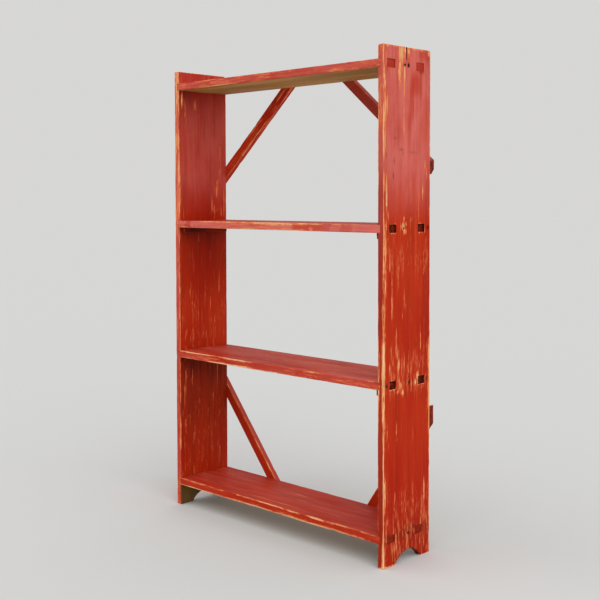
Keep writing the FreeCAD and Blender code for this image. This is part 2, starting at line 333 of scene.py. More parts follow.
# Colours. A pair is mixed by noise.
PINE = ((0.90, 0.40, 0.17), (0.95, 0.58, 0.30))
PINE_LATE, PINE_FIBRE = (0.60, 0.215, 0.065), (0.50, 0.19, 0.06)
AGED = ((0.34, 0.175, 0.042), (0.56, 0.315, 0.095))
AGED_LATE, AGED_FIBRE = (0.22, 0.092, 0.020), (0.20, 0.095, 0.026)
DEEP_RED = ((0.420, 0.0135, 0.0012), (0.520, 0.030, 0.0040))
# Pale red is faded paint, and also painted sheen and light where the tone attribute puts them.
PALE_RED = ((0.615, 0.116, 0.090), (0.715, 0.162, 0.134))
LIGHT_STROKE, DARK_STROKE = (0.66, 0.100, 0.028), (0.260, 0.007, 0.0010)
GRIME = (0.230, 0.013, 0.0020)
THIN_PAINT = ((0.70, 0.110, 0.032), (0.86, 0.240, 0.092))
ORANGE_FILM = (0.87, 0.280, 0.105)
SHADED_WOOD, SHADED_PAINT = (0.030, 0.017, 0.006), (0.060, 0.0065, 0.0012)
RUSTY = ((0.030, 0.008, 0.004), (0.090, 0.024, 0.009))
RUST_SPOT = (0.16, 0.050, 0.018)


class Graph:
    """Short names for the shader nodes that the two materials use."""

    def __init__(self, name):
        self.material = bpy.data.materials.new(name)
        self.material.use_nodes = True
        self.tree = self.material.node_tree
        self.shader = next(n for n in self.tree.nodes if n.type == "BSDF_PRINCIPLED")

    def node(self, kind, inputs=(), **settings):
        node = self.tree.nodes.new("ShaderNode" + kind)
        for key, value in settings.items():
            setattr(node, key, value)
        for key, value in dict(inputs).items():
            self.feed(node.inputs[key], value)
        return node

    def feed(self, socket, value):
        if isinstance(value, bpy.types.NodeSocket):
            self.tree.links.new(value, socket)
        elif isinstance(value, tuple) and len(value) == 3 and socket.type == "RGBA":
            socket.default_value = (*value, 1)
        else:
            socket.default_value = value

    def math(self, operation, *values, clamp=False):
        node = self.node("Math", operation=operation, use_clamp=clamp)
        for socket, value in zip(node.inputs, values):
            self.feed(socket, value)
        return node.outputs[0]

    def attribute(self, name, output="Fac"):
        return self.node("Attribute", attribute_type="GEOMETRY", attribute_name=name).outputs[output]

    def stretch(self, vector, scale, shift=(0, 0, 0)):
        moved = self.node("VectorMath", {0: vector, 1: scale, 2: shift}, operation="MULTIPLY_ADD")
        return moved.outputs[0]

    def noise(self, vector, scale, shift=0.0, detail=2.0, roughness=0.5, distortion=0.0):
        """Noise whose grains are 1/scale metres across, through and along the board."""
        inputs = {"Vector": self.stretch(vector, scale, (shift, shift * 0.7, shift * 1.3)), "Scale": 1.0,
                  "Detail": detail, "Roughness": roughness, "Distortion": distortion}
        return self.node("TexNoise", inputs).outputs[0]

    def step(self, value, low, high, to_low=0.0, to_high=1.0):
        inputs = {"Value": value, "From Min": low, "From Max": high, "To Min": to_low, "To Max": to_high}
        return self.node("MapRange", inputs, interpolation_type="SMOOTHSTEP").outputs[0]

    def mix(self, factor, first, second, blend="MIX"):
        node = self.node("Mix", data_type="RGBA", blend_type=blend)
        self.feed(node.inputs[0], factor)
        self.feed(node.inputs[6], first)
        self.feed(node.inputs[7], second)
        return node.outputs[2]

    def sum(self, *pairs):
        """The sum of socket times number pairs."""
        total = 0.0
        for value, gain in pairs:
            total = self.math("MULTIPLY_ADD", value, gain, total)
        return total


def painted_wood():
    """Old red oil paint on pine, worn through along the grain, and bare wood where it was never painted."""
    g = Graph("painted_wood")
    grain = g.attribute("grain", "Vector")
    wear, tone = g.attribute("wear"), g.attribute("tone")
    bare, shade = g.attribute("bare"), g.attribute("shade")

    def even(value, low=0.32, high=0.68):
        """Noise spread out to the whole of 0 to 1."""
        return g.step(value, low, high)

    # Pine: growth rings round a pith below the board, and fine fibres.
    wander = g.noise(grain, (9, 9, 1.1), 3.0, detail=1.0)
    pith = g.stretch(grain, (1, 1, 0.035), (-0.06, 0.09, 0))
    bend = g.node("CombineXYZ", {"Y": g.math("MULTIPLY", wander, 0.08)}).outputs[0]
    bent = g.node("VectorMath", {0: pith, 1: bend}, operation="ADD").outputs[0]
    waves = {"Vector": bent, "Scale": 62.0, "Distortion": 2.2, "Detail": 2.0, "Detail Scale": 0.6}
    rings = g.node("TexWave", waves, wave_type="RINGS", rings_direction="Z", wave_profile="SAW")
    fibre = even(g.noise(grain, (620, 620, 14), 1.0, detail=3.0, roughness=0.6))
    late = g.step(rings.outputs["Fac"], 0.55, 0.98)
    broken = even(g.noise(grain, (260, 260, 20), 37.0, detail=3.0, roughness=0.62))
    torn = even(g.noise(grain, (95, 95, 9), 43.0, detail=2.0))
    wood = g.mix(torn, *PINE)
    wood = g.mix(g.math("MULTIPLY", late, 0.75), wood, PINE_LATE)
    wood = g.mix(g.math("MULTIPLY", fibre, 0.40), wood, PINE_FIBRE)
    patina = even(g.noise(grain, (14, 14, 2.0), 8.0, detail=3.0))
    aged = g.mix(patina, *AGED)
    aged = g.mix(g.math("MULTIPLY", late, 0.5), aged, AGED_LATE)
    aged = g.mix(g.math("MULTIPLY", fibre, 0.3), aged, AGED_FIBRE)
    # The shade attribute darkens bare wood too: painted shade inside the feet.
    aged = g.mix(g.math("MULTIPLY", shade, 0.9), aged, SHADED_WOOD)

    # Paint: deep where it is sheltered, washed out where light and hands reached it, and pale where the tone
    # attribute carries painted sheen and light.
    broad = even(g.noise(grain, (6, 6, 2.2), 5.0, detail=3.0))
    brushed = even(g.noise(grain, (200, 200, 4.5), 11.0, detail=3.0, roughness=0.62))
    drawn = even(g.noise(grain, (62, 62, 2.6), 13.0, detail=3.0, roughness=0.6))
    blotch = even(g.noise(grain, (26, 26, 9), 17.0, detail=4.0, roughness=0.6))
    deep = g.mix(broad, *DEEP_RED)
    pale_paint = g.mix(broad, *PALE_RED)
    pale_pattern = g.sum((blotch, 0.44), (drawn, 0.14))
    paleness = g.math("MULTIPLY_ADD", tone, g.math("ADD", pale_pattern, 0.70), -0.05, clamp=True)
    paint = g.mix(paleness, deep, pale_paint)
    light_stroke = g.math("MULTIPLY", g.step(brushed, 0.62, 1.0), g.math("MULTIPLY_ADD", torn, 0.30, 0.04))
    paint = g.mix(light_stroke, paint, LIGHT_STROKE)
    paint = g.mix(g.step(brushed, 0.40, 0.0, 0.0, 0.16), paint, DARK_STROKE)
    grime = even(g.noise(grain, (48, 48, 3.4), 23.0, detail=4.0), 0.52, 0.72)
    paint = g.mix(g.math("MULTIPLY", grime, 0.32), paint, GRIME)
    # The shade attribute darkens the paint: painted shade in hollows, under the shelves and on the braces and
    # cleats, and real soil, smudges and rust.
    hidden = g.math("MULTIPLY", shade, g.math("MULTIPLY_ADD", torn, 0.5, 0.75), clamp=True)
    paint = g.mix(hidden, paint, SHADED_PAINT)

    # Wear: broken up along the grain, first to a thin orange film and then to the wood.
    streaks = g.noise(grain, (120, 120, 5.0), 31.0, detail=2.0, roughness=0.45)
    region = g.noise(grain, (10, 10, 3.5), 41.0, detail=1.0)
    loose = g.math("MULTIPLY", g.step(streaks, 0.585, 0.76), g.step(region, 0.40, 0.66, 0.2, 1.0))
    fleck = even(g.noise(grain, (340, 340, 60), 53.0, detail=2.0, roughness=0.6))
    ragged = g.sum((broken, 0.52), (torn, 0.42), (fleck, 0.38))
    uneven = g.math("MULTIPLY_ADD", wear, 1.7, 0.20, clamp=True)
    rough_edge = g.math("SUBTRACT", ragged, 0.66)
    worn = g.math("MULTIPLY_ADD", rough_edge, uneven, g.sum((wear, 1.0), (loose, 0.46)))
    thin = g.step(worn, 0.24, 0.66)
    gone = g.step(worn, 0.56, 0.86)
    salmon = g.mix(broken, *THIN_PAINT)
    colour = g.mix(g.math("MULTIPLY", thin, 0.78), paint, salmon)
    film = g.mix(g.step(worn, 1.10, 0.70), wood, ORANGE_FILM)
    colour = g.mix(gone, colour, film)
    raw = g.step(g.sum((bare, 1.0), (broken, 0.12), (torn, 0.14)), 0.52, 0.70)
    colour = g.mix(raw, colour, aged)
    g.feed(g.shader.inputs["Base Color"], colour)

    open_wood = g.math("MAXIMUM", gone, raw)
    rough = g.sum((open_wood, 0.22), (brushed, 0.14), (blotch, 0.08))
    g.feed(g.shader.inputs["Roughness"], g.math("ADD", rough, 0.42, clamp=True))
    g.shader.inputs["Specular IOR Level"].default_value = 0.06
    ridges = g.math("MULTIPLY", open_wood, late)
    height = g.sum((gone, -0.35), (thin, -0.12), (fibre, 0.16), (brushed, 0.12), (drawn, 0.15),
                   (blotch, 0.10), (ridges, 0.22))
    bump = g.node("Bump", {"Height": height, "Strength": 0.85, "Distance": 0.0007})
    g.feed(g.shader.inputs["Normal"], bump.outputs[0])
    return g.material


def rusty_iron():
    g = Graph("rusty_iron")
    place = g.node("TexCoord").outputs["Object"]
    flakes = g.noise(place, (900, 900, 900), 2.0, detail=4.0, roughness=0.65)
    spots = g.noise(place, (260, 260, 260), 9.0, detail=3.0)
    colour = g.mix(g.step(flakes, 0.35, 0.7), *RUSTY)
    colour = g.mix(g.step(spots, 0.5, 0.72, 0.0, 0.6), colour, RUST_SPOT)
    g.feed(g.shader.inputs["Base Color"], colour)
    g.feed(g.shader.inputs["Roughness"], g.step(flakes, 0.2, 0.8, 0.55, 0.85))
    g.shader.inputs["Metallic"].default_value = 0.25
    g.shader.inputs["Specular IOR Level"].default_value = 0.15
    bump = g.node("Bump", {"Height": flakes, "Strength": 0.6, "Distance": 0.0003})
    g.feed(g.shader.inputs["Normal"], bump.outputs[0])
    return g.material


PAINT = painted_wood()
IRON = rusty_iron()


# ---------------------------------------------------------------- cutters


SIDE_BOX = {side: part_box(f"side_{side}") for side in SIDES}
SHELF_BOX = {shelf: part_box(f"shelf_{shelf}") for shelf in SHELVES}
LEVELS = {shelf: (low.z, high.z) for shelf, (low, high) in SHELF_BOX.items()}
FRONT, BACK = SIDE_BOX["right"][0].y, SIDE_BOX["right"][1].y
TOP = SIDE_BOX["right"][1].z
OUTER, INNER = SIDE_BOX["right"][1].x, SIDE_BOX["right"][0].x
WIDE = BACK - FRONT


def block(low, high):
    low, high = np.minimum(low, high), np.maximum(low, high)
    ring = [(low[0], low[1]), (high[0], low[1]), (high[0], high[1]), (low[0], high[1])]
    return loft([[(x, y, z) for x, y in ring] for z in (low[2], high[2])])


def through_side(side, outline, flares, seed):
    """A cutter through a side plank. outline is in y and z; flares are (x from the middle, mm of flare)."""
    outline = np.asarray(outline, float)
    middle = (outline.min(0) + outline.max(0)) / 2
    away = outline - middle
    away /= np.linalg.norm(away, axis=1, keepdims=True)
    rng = np.random.default_rng(seed)
    rough = 1 + 0.45 * np.convolve(np.tile(rng.normal(size=len(outline)), 3), np.ones(3) / 2, "same")
    rough = np.clip(rough[len(outline): 2 * len(outline)], 0.1, 2.2)
    rings = []
    for x, flare in flares:
        yz = outline + away * (flare * MM * rough)[:, None]
        rings.append(np.column_stack([np.full(len(yz), SIDES[side] * x), yz]))
    return loft(rings)


def mortise_outline(middle_y, width, low_z, high_z, seed, per_side=7):
    """A hand-cut rectangle, slightly out of true."""
    rng = np.random.default_rng(seed)
    half = width * MM / 2
    corners = np.array([(middle_y - half, low_z), (middle_y + half, low_z),
                        (middle_y + half, high_z), (middle_y - half, high_z)])
    corners += rng.uniform(-0.35, 0.35, (4, 2)) * MM
    points = []
    for k in range(4):
        start, end = corners[k], corners[(k + 1) % 4]
        for share in np.arange(per_side) / per_side:
            points.append(start + (end - start) * share + rng.uniform(-0.12, 0.12, 2) * MM)
    return points


def arch_outline():
    reach = math.asin(ARCH_WIDTH / 2 / ARCH_RADIUS)
    angles = np.linspace(-reach, reach, 33)
    arc = [(FRONT + ARCH_MIDDLE + ARCH_RADIUS * math.sin(a),
            ARCH_HEIGHT - ARCH_RADIUS + ARCH_RADIUS * math.cos(a)) for a in angles]
    return arc + [(arc[-1][0], -0.01), (arc[0][0], -0.01)]


CRACK_HEIGHTS = np.linspace(TOP + 0.002, TOP - 0.034, 9)
CRACK_MIDDLE = -0.0145 + np.cumsum(np.random.default_rng(7).normal(0, 0.00012, 9))
CRACK_HALF = np.interp(np.arange(9), (0, 1, 2, 5, 8), (3.4, 2.0, 1.35, 1.05, 0.30)) * MM


def in_crack(world):
    """The walls of the open part of the crack."""
    height = world[:, 2]
    middle = np.interp(-height, -CRACK_HEIGHTS, CRACK_MIDDLE)
    half = np.interp(-height, -CRACK_HEIGHTS, CRACK_HALF)
    return (height > CRACK_HEIGHTS[-1]) & (np.abs(world[:, 1] - middle) < half + 0.25 * MM)


def gap_to_arch(world):
    """How far each point is from the cylinder whose top makes the foot arch."""
    out = np.hypot(world[:, 1] - FRONT - ARCH_MIDDLE, world[:, 2] - ARCH_HEIGHT + ARCH_RADIUS)
    return np.abs(out - ARCH_RADIUS)


def crack_cutters():
    """A drying crack from the right side's top edge: open at first, then a hairline on the outer face."""
    left, right = CRACK_MIDDLE - CRACK_HALF, CRACK_MIDDLE + CRACK_HALF
    ring = [*zip(left, CRACK_HEIGHTS), *zip(right[::-1], CRACK_HEIGHTS[::-1])]
    split = loft([[(x, y, z) for y, z in ring] for x in (INNER - 0.002, OUTER + 0.002)])
    heights = np.linspace(TOP - 0.030, 0.995, 40)
    middle = np.interp(heights, [0.995, TOP - 0.03], [-0.027, CRACK_MIDDLE[-1]])
    middle += 0.0006 * np.sin(heights * 70)
    half = np.interp(heights, [0.995, 1.2, TOP - 0.03], [0.12, 0.35, 0.5]) * MM
    rings = []
    for y, z, h in zip(middle, heights, half):
        proud = OUTER + 0.001
        rings.append([(OUTER - 2.4 * h, y, z), (proud, y - 1.6 * h, z), (proud, y + 1.6 * h, z)])
    return split, loft(rings)


# ---------------------------------------------------------------- nails

NAIL_SUNK = 0.9 * MM
NAIL_HEAD = ((0.0, 0.9), (0.06, 1.8), (0.3, 2.5), (0.75, 2.75), (1.2, 2.5))  # depth and radius in mm
NAIL_NECK = (1.5, 1.4)
NAIL_POINT = ((5, 1.35), (2.4, 0.8), (0.9, 0.25))  # distance from the nail's end and radius in mm
DIMPLE_DEPTH, DIMPLE_RADIUS = 1.6, 4.3
STAIN = (7.5, 3.2)  # how far rust reaches from a nail's head, and how far all of it, in mm


def loose_parts(obj):
    """The places of each separate solid in a mesh, as arrays of points."""
    bm = bmesh.new()
    bm.from_mesh(obj.data)
    bmesh.ops.remove_doubles(bm, verts=bm.verts, dist=1e-6)
    left, parts = set(bm.verts), []
    while left:
        todo, found = [left.pop()], []
        while todo:
            vert = todo.pop()
            found.append(tuple(vert.co))
            for edge in vert.link_edges:
                other = edge.other_vert(vert)
                if other in left:
                    left.remove(other)
                    todo.append(other)
        parts.append(np.array(found))
    bm.free()
    return parts


def nail_places(node, axis):
    """The head's place, the direction and the length of each nail of a CAD node, driven along this axis."""
    found = []
    for points in loose_parts(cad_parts[node]):
        low, high = points.min(0), points.max(0)
        ends = [points[np.abs(points[:, axis] - value) < 1e-4] for value in (low[axis], high[axis])]
        spans = [np.ptp(end, axis=0).max() for end in ends]
        head = int(spans[1] > spans[0])
        place = (low + high) / 2
        place[axis] = (low, high)[head][axis]
        direction = np.zeros(3)
        direction[axis] = -1 if head else 1
        found.append((place, direction, high[axis] - low[axis]))
    return sorted(found, key=lambda one: tuple(np.round(one[0], 4)))


def spokes(direction, count):
    """Angles round a nail, and the unit vectors across it at those angles."""
    first = np.cross(direction, (0, 0, 1.0))
    second = np.cross(direction, first)
    turn = np.linspace(0, 2 * math.pi, count, endpoint=False)
    return turn, first * np.cos(turn)[:, None] + second * np.sin(turn)[:, None]


def nail(place, direction, length, seed):
    """A hammered nail: an uneven domed head, a shank and a point."""
    rng = np.random.default_rng(seed)
    turn, around = spokes(direction, 20)
    wobble = 1 + 0.05 * np.sin(turn * 2 + rng.uniform(0, 6)) + 0.03 * np.sin(turn * 5 + rng.uniform(0, 6))
    tilt = rng.uniform(-0.05, 0.05, 2)
    slant = tilt[0] * np.cos(turn) + tilt[1] * np.sin(turn)
    rings = []
    for depth, radius in NAIL_HEAD:
        deep = depth * MM + slant * radius * MM
        rings.append(place + around * (radius * MM * wobble)[:, None] + direction * deep[:, None])
    for depth, radius in (NAIL_NECK, *((length / MM - rest, r) for rest, r in NAIL_POINT)):
        rings.append(place + around * radius * MM + direction * (depth * MM))
    return loft(rings)


def dimple(place, direction, seed):
    """The hollow that a nail's head was hammered into."""
    rng = np.random.default_rng(seed)
    turn, around = spokes(direction, 22)
    rough = 1 + 0.10 * np.sin(turn * 3 + rng.uniform(0, 6)) + 0.07 * np.sin(turn * 5 + rng.uniform(0, 6))
    rings = []
    for deep, share in ((-1.0, 1.25), (0.0, 1.0), (0.7 * DIMPLE_DEPTH, 0.78), (DIMPLE_DEPTH, 0.60)):
        out = around * (DIMPLE_RADIUS * share * MM * rough)[:, None]
        rings.append(place + out + direction * deep * MM)
    return loft(rings)


NAILS = {}  # node name: [(place, direction, length)]
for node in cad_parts:
    if node.startswith("nails_"):
        NAILS[node] = nail_places(node, 1 if "brace" in node else 0)


def dimples(low, high, word, seed):
    """Dimples for the nail heads in this box, of the nodes with this word in their name."""
    heads = []
    for node, nails in sorted(NAILS.items()):
        if word in node:
            heads += [(place, direction) for place, direction, _ in nails
                      if (place > np.array(low)).all() and (place < np.array(high)).all()]
    return [dimple(place, direction, seed + k) for k, (place, direction) in enumerate(heads)]


def stains(word, world):
    """Rust that the nail heads of these nodes left in the wood round them."""
    dark = np.zeros(len(world))
    for node, nails in NAILS.items():
        if word in node:
            for place, _, _ in nails:
                gap = np.linalg.norm(world - place, axis=1)
                dark = np.maximum(dark, 0.9 * ramp(*STAIN, gap))
    return dark


# ---------------------------------------------------------------- wear on the two sides

# Worn patches on the right side's outer face: y, z, half width, half length in mm, and strength.
WORN = (
    # the top edge and the crack
    (-36, 1398, 14, 24, 1.2), (-26, 1408, 9, 13, 1.1), (-44, 1346, 6.5, 42, 0.85), (-38, 1368, 6, 24, 0.85),
    (-23, 1320, 3.8, 62, 1.25), (-24, 1220, 3, 100, 0.8), (-3, 1402, 6, 16, 0.85), (8, 1386, 6, 22, 0.62),
    (-95, 1412, 12, 4, 0.8), (-62, 1413, 20, 3, 0.7), (20, 1413, 16, 3.5, 0.75), (58, 1413, 18, 3, 0.75),
    (70, 1406, 5, 13, 0.6), (86, 1408, 7, 10, 0.75), (-62, 1330, 3, 22, 0.4), (-100, 1384, 5, 22, 0.6),
    # along the front arris
    (-107, 1330, 5, 46, 0.85), (-106, 1236, 7, 60, 1.05), (-107, 1150, 5, 50, 0.8), (-97, 1262, 4, 40, 0.62),
    (-99, 1010, 4, 60, 0.85), (-107, 1060, 4, 40, 0.7), (-104, 890, 7, 66, 0.9), (-104, 760, 6, 60, 0.7),
    (-105, 660, 5, 60, 0.8), (-105, 380, 5, 60, 0.75), (-105, 200, 5, 60, 0.8), (-92, 960, 3.5, 24, 0.6),
    # along the back arris
    (91, 1330, 3, 90, 0.95), (91, 1190, 3, 70, 0.8), (91, 1060, 3, 50, 0.6), (90, 955, 4, 50, 0.75),
    (91, 820, 3, 50, 0.5), (91, 680, 3, 60, 0.65), (89, 560, 4, 50, 0.8), (88, 470, 5, 40, 0.85),
    (91, 300, 3, 70, 0.7), (90, 150, 4, 70, 0.75), (90, 50, 5, 45, 0.9), (84, 432, 5, 26, 0.66),
    # round and above the upper shelf's tenons
    (75, 1068, 3.4, 28, 0.74), (70, 1098, 3, 16, 0.5), (59, 1026, 3.6, 26, 0.62), (44, 1010, 3, 20, 0.5),
    (-27, 1050, 5, 48, 0.25), (-28, 928, 8, 10, 1.15), (-20, 915, 8, 11, 1.1), (-16, 936, 5, 9, 0.9),
    (-24, 950, 3.5, 8, 0.7), (12, 958, 3.2, 26, 0.42), (6, 944, 4, 14, 0.3), (-68, 889, 4, 18, 0.4),
    # streaks over the middle bay
    (74, 868, 3.2, 46, 0.62), (62, 852, 3.2, 30, 0.45), (52, 828, 6, 38, 0.46), (-47, 858, 8, 13, 0.35),
    (-92, 842, 4.5, 32, 0.62), (-86, 820, 4, 22, 0.5), (-75, 780, 3.2, 46, 0.55), (-75, 722, 3.2, 50, 0.55),
    (-23, 725, 5, 34, 0.56), (-16, 704, 4, 22, 0.45), (3, 712, 3.4, 30, 0.4), (9, 690, 3.6, 28, 0.56),
    (-30, 690, 4, 18, 0.4), (-57, 612, 4.5, 46, 0.66), (-52, 584, 4, 24, 0.5), (-79, 590, 3.6, 30, 0.56),
    (-70, 560, 4, 18, 0.45), (-46, 548, 6, 20, 0.6), (51, 588, 3, 66, 0.72), (47, 540, 6, 22, 0.5),
    # round the lower shelf's tenons
    (-44, 496, 5, 26, 0.68), (-50, 478, 20, 6, 0.5), (37, 500, 4.5, 26, 0.62), (52, 479, 14, 7, 0.5),
    (-36, 470, 5, 18, 0.5), (-8, 505, 10, 10, 0.3), (10, 492, 7, 12, 0.35), (-38, 492, 7, 16, 0.85),
    (-30, 472, 10, 8, 0.75), (36, 512, 7, 14, 0.85), (28, 497, 5, 10, 0.75), (-62, 520, 5, 12, 0.6),
    (-84, 540, 5, 26, 0.7), (-22, 556, 4, 26, 0.6), (12, 548, 4, 22, 0.55), (74, 506, 4, 14, 0.6),
    # the lower bay and the foot
    (77, 400, 3.4, 24, 0.4), (-55, 362, 3.2, 42, 0.46), (-96, 370, 3.5, 30, 0.52), (-90, 330, 3.5, 22, 0.4),
    (19, 186, 3.4, 60, 0.56), (67, 176, 3.8, 44, 0.64), (60, 120, 5, 26, 0.5), (-67, 150, 5, 36, 0.5),
    (-60, 190, 4, 24, 0.4), (72, 108, 7, 20, 0.6), (-56, 68, 4, 28, 0.85), (-62, 52, 3, 14, 0.5),
    (69, 42, 3.4, 18, 0.6), (78, 20, 4, 18, 0.7), (-26, 40, 8, 9, 0.32), (-40, 100, 4, 24, 0.4),
    (30, 60, 5, 20, 0.4), (10, 130, 4, 30, 0.38), (-82, 40, 4, 16, 0.35),
)
# Dark smudges and scratches on that face, in the same terms.
SMUDGED = (
    (14, 90, 14, 7, 0.75), (-8, 84, 8, 5, 0.5), (58, 92, 12, 12, 0.5), (-72, 80, 16, 14, 0.4),
    (-20, 470, 6, 5, 0.55), (-66, 1106, 2.4, 8, 0.7), (-70, 1066, 2.4, 9, 0.6), (-36, 1138, 8, 1.8, 0.6),
    (-52, 1122, 9, 1.6, 0.4), (-30, 1128, 3, 4, 0.5), (-60, 1168, 10, 1.6, 0.35), (20, 1132, 18, 1.6, 0.3),
    (-10, 500, 5, 6, 0.55), (6, 486, 4, 5, 0.5), (52, 1352, 12, 4, 0.5), (-74, 1386, 8, 2, 0.4),
    (-97, 1352, 3, 9, 0.3), (-101, 1120, 2, 7, 0.6), (-100, 1028, 2, 6, 0.55), (82, 1390, 4, 10, 0.25),
    (30, 600, 8, 5, 0.25),
)
# Newer, deeper paint on the pale top of that face, which is faded and carries a painted sheen, in the same
# terms.
REPAINTED = (
    (30, 1318, 22, 32, 0.6), (46, 1366, 14, 14, 0.5), (-80, 1366, 14, 12, 0.5), (62, 1400, 26, 12, 0.5),
    (10, 1270, 9, 60, 0.55), (-2, 1180, 8, 60, 0.35), (-8, 1395, 9, 20, 0.45),
)
# Worn patches on the left side's inner face, in the same terms.
WORN_INSIDE = (
    (-43, 1312, 7, 22, 0.9), (-97, 1322, 6, 24, 1.05), (50, 1040, 7, 30, 1.2), (66, 1140, 4, 80, 0.92),
    (-84, 1296, 3.5, 40, 0.85), (44, 972, 20, 18, 0.6), (70, 966, 6, 22, 0.72), (-78, 1245, 3, 42, 0.55),
    (-47, 1172, 3, 30, 0.5), (-8, 990, 3, 32, 0.5), (12, 1240, 3, 36, 0.4), (-30, 880, 5, 20, 0.6),
    (-70, 820, 3.5, 34, 0.55), (20, 800, 4, 40, 0.5), (60, 720, 4, 40, 0.8), (74, 640, 5, 46, 0.85),
    (46, 600, 4, 44, 0.8), (20, 660, 3, 40, 0.6), (-50, 640, 4, 40, 0.6), (-85, 560, 5, 34, 0.8),
    (0, 560, 5, 30, 0.6), (-66, 700, 4, 44, 0.6), (-84, 430, 4, 40, 0.7), (-60, 400, 4, 36, 0.7),
    (-30, 350, 3.5, 44, 0.65), (30, 330, 4, 40, 0.65), (-88, 260, 4, 44, 0.75), (-52, 220, 4, 40, 0.75),
    (10, 240, 3.5, 40, 0.7), (58, 300, 4, 50, 0.7), (50, 160, 5, 36, 0.7), (-74, 140, 5, 30, 0.75),
    (-20, 150, 4, 30, 0.65),
)
# Light wear all over the outer and the inner faces, so that only its noise shows through: height in mm, wear.
SCUFFED = ((0, 0.18), (40, 0.26), (140, 0.28), (190, 0.20), (240, 0.10), (330, 0.0), (440, 0.06), (480, 0.27),
           (560, 0.24), (640, 0.10), (700, 0.14), (760, 0.14), (840, 0.24), (900, 0.14), (1000, 0.06),
           (1060, 0.10), (1140, 0.0), (1330, 0.04), (1416, 0.20))
SCUFFED_INSIDE = ((0, 0.0), (90, 0.18), (300, 0.16), (400, 0.10), (470, 0.0), (510, 0.18), (700, 0.16),
                  (820, 0.08), (900, 0.0), (936, 0.14), (1030, 0.10), (1120, 0.03), (1416, 0.06))
# Painted shade on the inner faces, darkest just under each shelf and on the feet: height in mm, shade.
INNER_SHADE = ((0, 0.80), (66, 0.75), (90, 0.12), (200, 0.24), (400, 0.52), (486, 0.74), (512, 0.05), (650, 0.02),
        (850, 0.22), (911, 0.64), (936, 0.04), (1150, 0.0), (1300, 0.04), (1355, 0.18), (1380, 0.0),
        (1416, 0.0))

ON_FACE = 2.2 * MM  # points at most this far from a face's plane belong to it
PATCH_POWER, REPAINT_POWER = 2.2, 4  # how sharply a patch ends


def by_height(world, levels):
    heights, amounts = np.array(levels).T
    return np.interp(world[:, 2], heights * MM, amounts)


def within(world, y, z, half_width, half_length, power):
    """1 in the middle of an upright patch, falling to 0 outside it."""
    across = (world[:, 1] - y * MM) / (half_width * MM)
    along = (world[:, 2] - z * MM) / (half_length * MM)
    return np.exp(-np.abs(across) ** power - np.abs(along) ** power)


def patches_on(x, rows, gain=1.0):
    """The strongest of these patches at each point of the face at this x."""

    def value(p, world):
        strongest = np.zeros(len(world))
        for *place, strength in rows:
            strongest = np.maximum(strongest, gain * strength * within(world, *place, PATCH_POWER))
        return strongest * (np.abs(world[:, 0] - x) < ON_FACE)

    return value


def scuffs_on(x, levels):
    """Light wear all over the face at this x, by height."""
    return lambda p, world: by_height(world, levels) * (np.abs(world[:, 0] - x) < ON_FACE)


def outer_fade_and_sheen(world):
    """How pale the outer face's paint is, from faded paint and a painted sheen: much at the top, little low
    down.
    """
    level = 0.90 * smoothstep(0.90, 1.14, world[:, 2]) + 0.02
    for *place, strength in REPAINTED:
        level = level * (1 - strength * within(world, *place, REPAINT_POWER))
    return level


def inner_tone(world):
    z = world[:, 2]
    return 0.02 + 0.56 * smoothstep(0.92, 1.10, z) * smoothstep(1.44, 1.24, z) + 0.3 * (z > LEVELS["top"][1])


def mouth_wear_and_shade(world):
    """Wear round the tenon ends, and painted shade on the mortise walls: two arrays."""
    wear, shade = np.zeros(len(world)), np.zeros(len(world))
    x = np.abs(world[:, 0])
    for shelf in SHELVES:
        width, front, back, depth = TENONS[shelf]
        low, high = LEVELS[shelf]
        for middle in (front, back):
            dy = np.abs(world[:, 1] - FRONT - middle * MM) - width * MM / 2
            dz = np.abs(world[:, 2] - (low + high) / 2) - (high - low) / 2
            outside = np.hypot(np.maximum(dy, 0), np.maximum(dz, 0)) + np.minimum(np.maximum(dy, dz), 0)
            if depth > DEEP_TENON:
                face = x > OUTER - 1.5 * MM
                level = 0.42 + 0.26 * (world[:, 2] < low)
                wear = np.maximum(wear, face * level * np.exp(-((outside / (3.0 * MM)) ** 2)))
            # Painted shade on the mortise walls inside the plank.
            inside = (outside < 0.8 * MM) & (x < OUTER - 0.9 * MM) & (x > INNER + 1.5 * MM)
            shade = np.maximum(shade, inside * 1.0)
    return wear, shade


# ---------------------------------------------------------------- the two sides

PLANK_CORNERS = ((0, 1, 4.5), (1, 1, 9.0), (0, 0, 3.0), (1, 0, 3.0))  # at the back? at the top? radius in mm
SIDE_LOOKS = {  # step is the grid's across the plank, in mm; front_tone and front_wear rise with height
    "left": {
        "seed": 200, "step": 3.4, "arrises": ((1.1, 1.1), (0.55, 0.8)), "wear_width": 1.2, "wear_gain": 0.72,
        "front_tone": (0.42, 1.05), "front_wear": (0.28, 0.34),
    },
    "right": {
        "seed": 100, "step": 2.1, "arrises": ((0.8, 1.6), (0.6, 1.25)), "wear_width": 1.25, "wear_gain": 0.80,
        "front_tone": (0.15, 0.98), "front_wear": (0.06, 0.26),
    },
}
CLEARANCE = 0.15 * MM  # above and below a shelf in its housing


